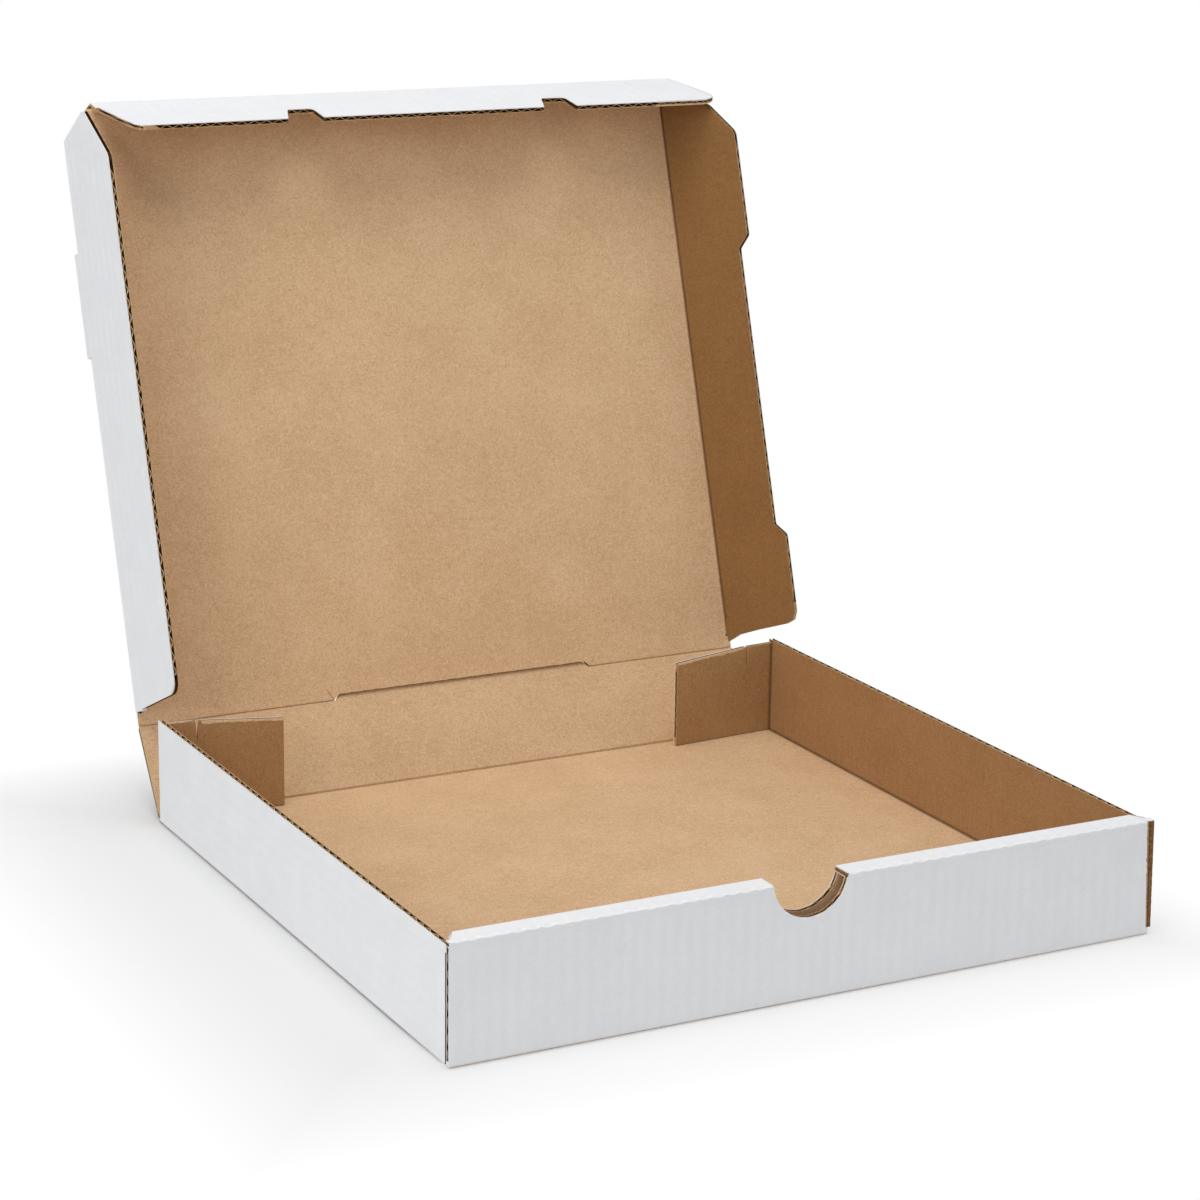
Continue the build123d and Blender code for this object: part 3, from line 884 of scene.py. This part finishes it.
def add_front_crease(name, start, end):
    columns = int((end - start) / CREASE_STEP)
    rows = len(CREASE_PATH) - 1
    piece = add_grid(name, columns, rows)
    for vertex in piece.data.vertices:
        row = round((vertex.co.y + 0.5) * rows)
        x = start + (vertex.co.x + 0.5) * (end - start)
        back, rise = (value * MM for value in CREASE_PATH[row])
        drop = scallop(x) if row == RIDGE_ROW else 0.0
        vertex.co = (x, tray_low.y + back, tray_high.z + rise - drop)
    piece.data.materials.append(wall_board.papers[WHITE_SLOT])
    ride(piece, "tray")
    return piece


creases = [
    add_front_crease("front_crease_left", tray_low.x + CREASE_INSET, NOTCH_X - NOTCH_HALF),
    add_front_crease("front_crease_right", NOTCH_X + NOTCH_HALF, tray_high.x - END_WIDTH - END_SLANT),
]
print("crease columns:", sum(len(piece.data.vertices) for piece in creases) // len(CREASE_PATH))

# %% [markdown]
# The bare core at the right end of the front wall
#
# The block cut out of the tray left a dark rebate. In it stands the edge of the crushed board, brown
# from top to bottom. It is a narrow grid whose columns waver and lie at their own depths, each in
# its own paper, and it leans in towards the top as the end of the wall does.

# %% Bare end
RIBBON_SHARES = (-0.04, 0.12, 0.2, 0.42, 0.52, 0.8, 0.98, 1.0)
RIBBON_DEPTHS = (0.55, 0.45, 0.1, 0.3, 0.45, 0.12, 0.2, 1.2)
# The darker core papers in these columns carry painted shade in the gaps of the crushed edge.
RIBBON_PAPERS = (shaded_core_paper, kraft_edge, pale_shaded_core, shaded_core_paper, pale_shaded_core, pale_shaded_core, shaded_core_paper)
RIBBON_REACH = 1.3 * MM
RIBBON_LEAN = 1.25 * MM
RIBBON_ROWS = 90
RIBBON_SCALE = 500


def add_bare_end():
    columns = len(RIBBON_SHARES) - 1
    piece = add_grid("bare_end", columns, RIBBON_ROWS)
    for vertex in piece.data.vertices:
        column = round((vertex.co.x + 0.5) * columns)
        z = END_LOW + (vertex.co.y + 0.5) * (END_HIGH - END_LOW)
        sway = NIBBLE * 0.5 * noise.noise(Vector((column * 7.0, 0, z * RIBBON_SCALE)))
        depth = RIBBON_DEPTHS[column] * MM + sway * 0.6
        width = END_WIDTH + end_slant(z)
        reach = width + RIBBON_REACH - RIBBON_LEAN * end_slant(z) / END_SLANT
        x = tray_high.x - width + RIBBON_SHARES[column] * reach + sway
        vertex.co = (x, tray_low.y + depth, z)
    for paper in RIBBON_PAPERS:
        piece.data.materials.append(paper)
    for face in piece.data.polygons:
        face.material_index = face.index % columns
    ride(piece, "tray")
    return piece


print("bare end:", len(add_bare_end().data.polygons), "faces")

# %% [markdown]
# The bent end of the front flap
#
# The front flap's right end springs out past the lid, with its corner bent down. It can't be rigid,
# because the closed lid has to fit between the walls. It is a board drawn as an outline, with its
# corners bevelled round, split along the bend and thickened, and it rides on the front flap.

# %% Bent end
# The outline is in millimetres: to the right of the lid's middle, and down the flap from its fold.
END_OUTLINE = ((140, 0.25), (168.5, 0.25), (182.5, 21.0), (173.0, 40.06), (140, 40.06))
END_ROUNDS = ((182.5, 21.0, 8.0), (173.0, 40.06, 7.0))
BEND_START = Vector((168.0, 0.0))
BEND_END = Vector((172.5, 24.0))
BEND_SLOPE = math.tan(math.radians(16.0))
ROUND_STEPS = 6


def flap_place(x, down, depth=0.0):
    return hinge["front_flap_fold"] + X_AXIS * x * MM + front_down * down * MM + front_in * depth


def flap_flat(place):
    offset = place - hinge["front_flap_fold"]
    return Vector((offset.x / MM, offset.dot(front_down) / MM))


def round_corner(piece, x, down, radius):
    only(piece)
    corner = flap_place(x, down, -PROUD * 2)
    bpy.ops.object.mode_set(mode="EDIT")
    bpy.ops.mesh.select_mode(type="VERT")
    bpy.ops.mesh.select_all(action="DESELECT")
    bpy.ops.object.mode_set(mode="OBJECT")
    for vertex in piece.data.vertices:
        vertex.select = (vertex.co - corner).length < SKIN
    bpy.ops.object.mode_set(mode="EDIT")
    bpy.ops.mesh.bevel(offset=radius * MM, segments=ROUND_STEPS, affect="VERTICES")
    bpy.ops.object.mode_set(mode="OBJECT")


def bend_corner(piece):
    run = (BEND_END - BEND_START).normalized()
    across = Vector((run.y, -run.x))
    plane = X_AXIS * across.x + front_down * across.y
    only(piece)
    bpy.ops.object.mode_set(mode="EDIT")
    bpy.ops.mesh.select_all(action="SELECT")
    bpy.ops.mesh.bisect(plane_co=flap_place(*BEND_START), plane_no=plane)
    bpy.ops.object.mode_set(mode="OBJECT")
    for vertex in piece.data.vertices:
        beyond = (flap_flat(vertex.co) - BEND_START).dot(across)
        vertex.co += front_in * max(0.0, beyond) * BEND_SLOPE * MM


def paper_sides(piece, board, inward, edge_slot):
    add_papers(piece, [board])
    for face in piece.data.polygons:
        facing = face.normal.dot(inward)
        liner = KRAFT_SLOT if facing > 0 else WHITE_SLOT
        face.material_index = edge_slot if abs(facing) < 0.5 else liner


def add_bent_end():
    piece = outline_face("front_flap_end", [flap_place(x, down, -PROUD * 2) for x, down in END_OUTLINE])
    for x, down, radius in END_ROUNDS:
        round_corner(piece, x, down, radius)
    bend_corner(piece)
    thicken(piece, front_in * (BOARD + PROUD * 4))
    paper_sides(piece, front_board, front_in, CUT_SLOT)
    ride(piece, "front_flap")
    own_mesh(piece)
    return piece


print("bent end:", len(add_bent_end().data.polygons), "faces")

# %% [markdown]
# Board in the closed lid's way
#
# Two bits of board stand where the closed lid needs their place: the heel of the right flap, which
# hangs down to the hinge, and the root of the left corner flap, beside its slit. In the real box soft
# board is pushed aside there as the lid closes. Each is drawn as an outline, thickened, papered, and
# rides on its panel.

# %% Board in the closed lid's way
# The heel's outline is in millimetres up the lid and down the flap, the root's along the flap and up.
HEEL_EDGE = (2.8, 0.45), (5.9, 8.5), (7.2, 20.0), (8.6, 38.0), (10.2, 42.6), (14.5, 44.4)
HEEL_OUTLINE = HEEL_EDGE + ((19.0, 44.4), (14.5, 0.45))
ROOT_OUTLINE = ((0.0, 15.2), (10.7, 15.2), (10.7, 48.45), (0.0, 48.45))


def add_yielding(name, body, board, outline):
    inward = -board.out
    piece = outline_face(name, [point - inward * PROUD / 2 for point in outline])
    thicken(piece, inward * (BOARD + PROUD))
    paper_sides(piece, board, inward, WEB_SLOT)
    ride(piece, body)
    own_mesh(piece)
    return piece


def heel_place(up, down):
    return hinge["right_flap_fold"] + lid_up * up * MM + right_down * down * MM


def root_place(along, z):
    return left_corner + left_run * along * MM + Z_AXIS * z * MM


heel_points = [heel_place(*place) for place in HEEL_OUTLINE]
root_points = [root_place(*place) for place in ROOT_OUTLINE]
yielding = [
    add_yielding("right_flap_heel", "right_flap", right_board, heel_points),
    add_yielding("left_corner_root", "tray", left_corner_board, root_points),
]
print("board that gives way:", len(yielding))

# %% [markdown]
# Torn tops of the corner flaps
#
# The rear corner flaps were torn from the sheet along their tops, so a pale fringe of paper shows
# there. Each fringe is a narrow grid along the top with a ragged lower edge.

# %% Torn tops
FRINGE_STEP = 0.8 * MM
FRINGE_HEIGHT = 1.3 * MM
FRINGE_START = 17.5 * MM
FRINGE_END = 56.8 * MM
FRINGE_HIGH = 48.4 * MM
FRINGE_LOW = 45.5 * MM
FRINGE_TOP = 0.1 * MM
FRINGE_THICKNESS = 0.2 * MM
FRINGE_SCALE = 240
torn_paper = cut_paper("torn_paper", ink(233, 210, 178), ink(205, 174, 135), 900)


def add_fringe(name, root, run, inward):
    surface = root + inward * BOARD
    start = surface + run * FRINGE_START + Z_AXIS * FRINGE_HIGH
    end = surface + run * FRINGE_END + Z_AXIS * FRINGE_LOW
    columns = int((end - start).length / FRINGE_STEP)
    piece = add_grid(name, columns, 1)
    for vertex in piece.data.vertices:
        place = start.lerp(end, vertex.co.x + 0.5)
        ragged = 0.6 + 0.8 * abs(noise.noise(place * FRINGE_SCALE))
        drop = FRINGE_HEIGHT * ragged if vertex.co.y < 0 else -FRINGE_TOP
        vertex.co = place - Z_AXIS * drop
    stiffen(piece, FRINGE_THICKNESS)
    piece.data.materials.append(torn_paper)
    ride(piece, "tray")
    return piece


fringes = [
    add_fringe("left_fringe", left_corner, left_run, left_corner_in),
    add_fringe("right_fringe", right_corner, right_run, right_corner_in),
]
print("fringes:", len(fringes))

# %% [markdown]
# The torn edge above the rear wall's tab
#
# The lid is cut along the tab of the rear wall, and its brown liner tore there and hangs over the
# cut. It is a thin outline on the lid's inside, and its lower edge is cut up and made to waver.

# %% Torn edge
# The outline is in millimetres: to the right of the lid's middle, and up the lid from its hinge.
TORN_OUTLINE = ((-61.6, 0.2), (-58.6, 2.8), (75.6, 2.8), (78.6, 0.2), (82.0, 6.0), (-65.0, 6.0))
TORN_THICKNESS = 0.35 * MM
TORN_RAGGED = 0.3 * MM
TORN_BAND = 3.0 * MM
TORN_CUTS = 60
TORN_SCALE = 300


def add_torn_edge():
    origin = hinge["lid_hinge"] + lid_in * PROUD
    points = [origin + X_AXIS * x * MM + lid_up * up * MM for x, up in TORN_OUTLINE]
    piece = outline_face("torn_edge", points)
    thicken(piece, lid_in * TORN_THICKNESS)
    cut_across(piece, X_AXIS, TORN_CUTS)
    for vertex in piece.data.vertices:
        if (vertex.co - origin).dot(lid_up) < TORN_BAND:
            vertex.co += lid_up * TORN_RAGGED * noise.noise(Vector((vertex.co.x * TORN_SCALE, 0, 0)))
    piece.data.materials.append(lid_board.papers[KRAFT_SLOT])
    ride(piece, "lid")
    return piece


print("torn edge:", len(add_torn_edge().data.polygons), "faces")

# %% [markdown]
# The core in the open flutes
#
# Where a cut runs along the flutes, it opens one of them from end to end, and the wavy core shows
# in the dark as a thin brown line that goes to and fro between the liners. Each is a long grid laid
# along the cut in waves and given the thickness of paper.

# %% Core lines
CORE_SWING = 0.7 * MM
CORE_WAVE = 6.6 * MM
CORE_STEP = 1.1 * MM
CORE_TOP = 0.15 * MM
CORE_FOOT = 2.4 * MM
CORE_THICKNESS = 0.35 * MM
CORE_STRAY = 0.25 * MM
CORE_SCALE = 90
CORE_REACH = 154.0 * MM
CORE_LOW = 4.0 * MM
CORE_HIGH = 48.0 * MM


def add_core(name, body, start, end, across, into):
    run = end - start
    columns = int(run.length / CORE_STEP)
    piece = add_grid(name, columns, 1)
    for vertex in piece.data.vertices:
        share = vertex.co.x + 0.5
        depth = CORE_TOP if vertex.co.y > 0 else CORE_FOOT
        stray = noise.noise(Vector((share * run.length * CORE_SCALE, 3.0, 0)))
        swing = math.sin(2 * math.pi * share * run.length / CORE_WAVE + 1.5 * stray)
        depth += CORE_STRAY * abs(stray)
        vertex.co = start + run * share + across * CORE_SWING * swing + into * depth
    stiffen(piece, CORE_THICKNESS)
    piece.data.materials.append(kraft_edge)
    ride(piece, body)
    return piece


def wall_core(name, x):
    start = Vector((x, -CORE_REACH, SIDE_HEIGHT))
    end = Vector((x, CORE_REACH, SIDE_HEIGHT))
    return add_core(name, "tray", start, end, X_AXIS, -Z_AXIS)


def end_core(name, x, into):
    y = tray_low.y + BOARD / 2
    return add_core(name, "tray", Vector((x, y, CORE_LOW)), Vector((x, y, CORE_HIGH)), Y_AXIS, into)


def flap_core(name, joint, down, inward, span, reach):
    root = hinge[joint] + down * reach * MM + inward * BOARD / 2
    start, end = (root + lid_up * place * MM for place in span)
    return add_core(name, joint.replace("_fold", ""), start, end, inward, -down)


right_free = "right_flap_fold", right_down, right_in
cores = [
    wall_core("left_wall_core", tray_low.x + BOARD / 2),
    wall_core("right_wall_core", tray_high.x - BOARD / 2),
    end_core("front_left_core", tray_low.x, X_AXIS),
    end_core("front_right_core", tray_high.x, -X_AXIS),
    flap_core("left_flap_core", "left_flap_fold", left_down, left_in, (22, 258), 44.5),
    flap_core("right_flap_core_low", *right_free, (22, 53), 44.5),
    flap_core("right_flap_core_mid", *right_free, (61, 201), 38.5),
    flap_core("right_flap_core_high", *right_free, (209, 256), 44.5),
]
print("core lines:", len(cores))

# %% [markdown]
# Studio
#
# The box stands on a pale floor in soft light from all round, with one wide lamp overhead and a
# weaker one at each side. The floor turns to plain white away from the box, for the camera alone, so
# the shadow at its foot stays and the background is white without more light on the paper.

# %% Floor and light
FLOOR_SIZE = 12.0
FLOOR_DROP = 0.2 * MM
FLOOR_GREY = (0.79, 0.79, 0.79, 1)
FADE_START = 0.14
FADE_END = 0.24
FADE_CENTRE = Vector((-30.0, 25.0, 0.0)) * MM
WORLD_LIGHT = 0.38
PURE_WHITE = (1.0, 1.0, 1.0, 1.0)


def add_floor():
    bpy.ops.object.select_all(action="DESELECT")
    bpy.ops.mesh.primitive_plane_add(size=FLOOR_SIZE, location=(0, 0, -FLOOR_DROP))
    floor = bpy.context.object
    floor.name = "studio_floor"
    bpy.ops.object.transform_apply(location=True, rotation=True, scale=True)
    finish = Finish("studio_floor")
    sides = [finish.size(finish.along(axis) - FADE_CENTRE.dot(axis)) for axis in (X_AXIS, Y_AXIS)]
    distance = sides[0].maths("MAXIMUM", *sides)
    white = finish.node("ShaderNodeEmission", None, {"Color": PURE_WHITE, "Strength": 1.0})
    camera_ray = finish.node("ShaderNodeLightPath", out="Is Camera Ray")
    fade = finish.range(distance, FADE_START, FADE_END) * camera_ray
    finish.set(Base_Color=FLOOR_GREY, Roughness=0.9, Specular_IOR_Level=0.1)
    paper = Wire(finish, finish.shader.outputs[0])
    mixed = finish.node("ShaderNodeMixShader", None, {0: fade, 1: paper, 2: white})
    finish.feed(finish.tree.nodes["Material Output"].inputs["Surface"], mixed)
    floor.data.materials.append(finish.material)
    return floor


def add_area(name, place, target, size, power):
    data = bpy.data.lights.new(name, "AREA")
    data.shape = "DISK"
    data.size = size
    data.energy = power
    lamp = bpy.data.objects.new(name, data)
    lamp.location = place
    lamp.rotation_euler = (Vector(target) - Vector(place)).to_track_quat("-Z", "Y").to_euler()
    bpy.context.scene.collection.objects.link(lamp)
    return lamp


def add_world():
    world = bpy.data.worlds.new("studio")
    bpy.context.scene.world = world
    world.use_nodes = True
    graph = Graph(world.node_tree)
    lit = graph.node("ShaderNodeBackground", None, {"Color": PURE_WHITE, "Strength": WORLD_LIGHT})
    seen = graph.node("ShaderNodeBackground", None, {"Color": PURE_WHITE, "Strength": 1.0})
    camera_ray = graph.node("ShaderNodeLightPath", out="Is Camera Ray")
    mixed = graph.node("ShaderNodeMixShader", None, {0: camera_ray, 1: lit, 2: seen})
    graph.feed(graph.tree.nodes["World Output"].inputs["Surface"], mixed)
    return world


add_floor()
add_world()
add_area("overhead", (-0.3, -0.2, 2.2), target=(0, 0, 0.05), size=1.6, power=24.5)
add_area("left_fill", (-1.8, -0.75, 0.9), target=(0, 0, 0.1), size=1.2, power=11.0)
add_area("right_fill", (1.7, -0.9, 0.8), target=(0, 0, 0.1), size=1.2, power=4.0)
bpy.context.scene.view_settings.view_transform = "Standard"
print("world light:", WORLD_LIGHT)
